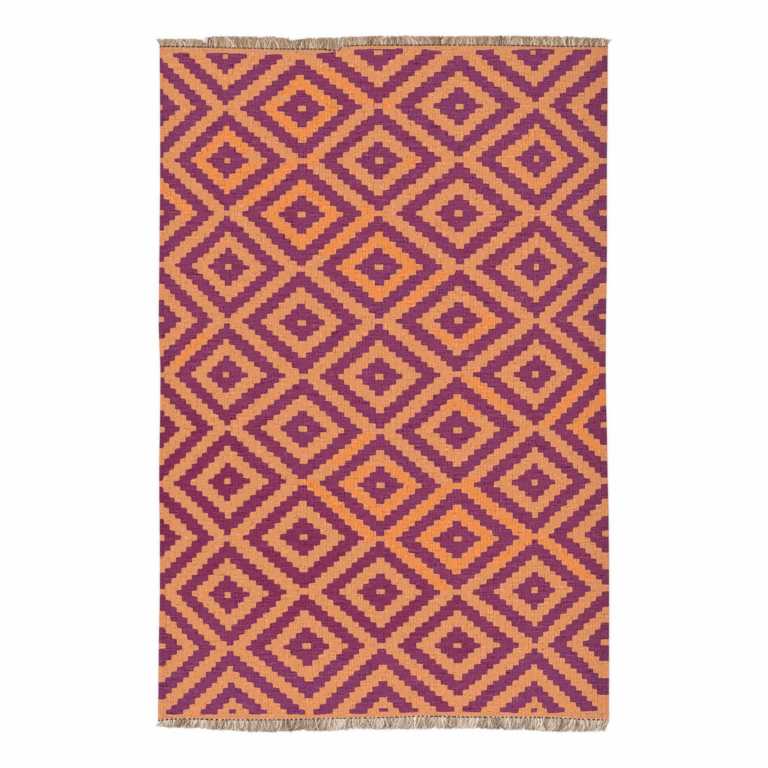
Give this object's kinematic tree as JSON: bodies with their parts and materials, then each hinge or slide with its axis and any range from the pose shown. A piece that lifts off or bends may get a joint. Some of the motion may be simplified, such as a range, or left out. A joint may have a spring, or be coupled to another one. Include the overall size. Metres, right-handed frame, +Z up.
{
  "type": "kilim rug",
  "caption": "Flat-woven wool rug with rows of nested stepped diamonds, a twined line at each end and short cut fringes, lying flat.",
  "frame": {"origin": "floor level under the middle of the rug's outline, fringes included", "axes": "+X across the rug, +Y along its length towards the far fringe, +Z up out of its face"},
  "size_m": [1.2164, 1.8668, 0.0032],
  "materials": {
    "dyed_wool_weft": "matte slit-woven wool, orange and plum",
    "twine_yarn": "matte two-strand wool twining, dark brown and tan",
    "undyed_warp": "matte undyed warp ends, beige and grey-brown"
  },
  "bodies": {
    "root": {"woven_field": "dyed_wool_weft", "twined_edge_far": "twine_yarn", "twined_edge_near": "twine_yarn", "fringe_far": "undyed_warp", "fringe_near": "undyed_warp"}
  },
  "joints": []
}
